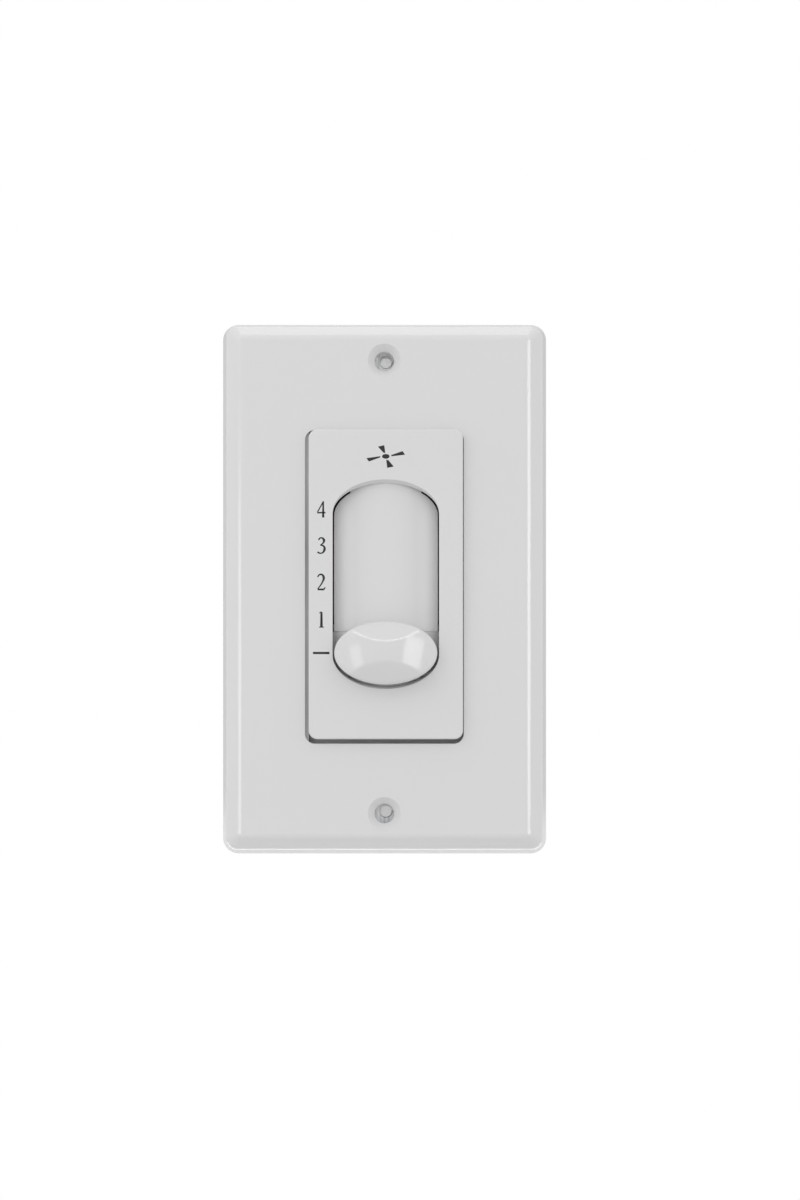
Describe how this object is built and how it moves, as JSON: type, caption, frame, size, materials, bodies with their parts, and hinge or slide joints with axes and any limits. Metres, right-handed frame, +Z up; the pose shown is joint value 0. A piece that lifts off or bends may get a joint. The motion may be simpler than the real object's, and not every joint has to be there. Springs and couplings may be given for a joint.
{
  "type": "fan speed control switch",
  "caption": "Slide-type fan speed control in a single-gang wall plate: a knob slides on a crowned track in a long slot, with a strap and a deep housing behind.",
  "frame": {"origin": "midway between the two box-screw slots, on the back face of the mounting strap (the wall plane)", "axes": "+Z up along the slot, +Y into the wall, -Y is the front, +X to the right seen from the front"},
  "size_m": [0.0698, 0.0426, 0.1143],
  "materials": {
    "white_satin_moulding": "satin",
    "white_satin_insert": "satin",
    "white_gloss_moulding": "gloss",
    "zinc_plated_steel": "satin",
    "dark_moulding": "matte",
    "fish_paper": "matte",
    "brass_contact": "satin",
    "spring_steel": "satin",
    "board_green": "satin",
    "capacitor_case": "gloss",
    "resistor_body": "gloss",
    "green_screw": "satin"
  },
  "bodies": {
    "frame": {"wall_plate": "white_satin_moulding", "front_bezel": "white_satin_insert", "track_plate": "white_satin_insert", "mounting_strap": "zinc_plated_steel", "rear_housing": "dark_moulding", "insulator_sheet": "fish_paper", "switch_base": "dark_moulding", "common_rail": "brass_contact", "speed_contact_1": "brass_contact", "speed_contact_2": "brass_contact", "speed_contact_3": "brass_contact", "speed_contact_4": "brass_contact", "circuit_board": "board_green", "capacitor_large": "capacitor_case", "capacitor_medium": "capacitor_case", "capacitor_small": "capacitor_case", "bleed_resistors": "resistor_body", "lead_terminals": "brass_contact", "housing_screws": "zinc_plated_steel", "ground_screw": "green_screw"},
    "slider": {"slider_knob": "white_gloss_moulding", "contact_carriage": "white_satin_insert", "wiper_contact": "brass_contact", "detent_spring": "spring_steel"}
  },
  "joints": [
    {"name": "knob_slide", "type": "slide", "parent": "frame", "child": "slider", "axis": [0, 0, 1], "range_m": [0, 0.02955], "deforming": ["detent_spring"]}
  ]
}
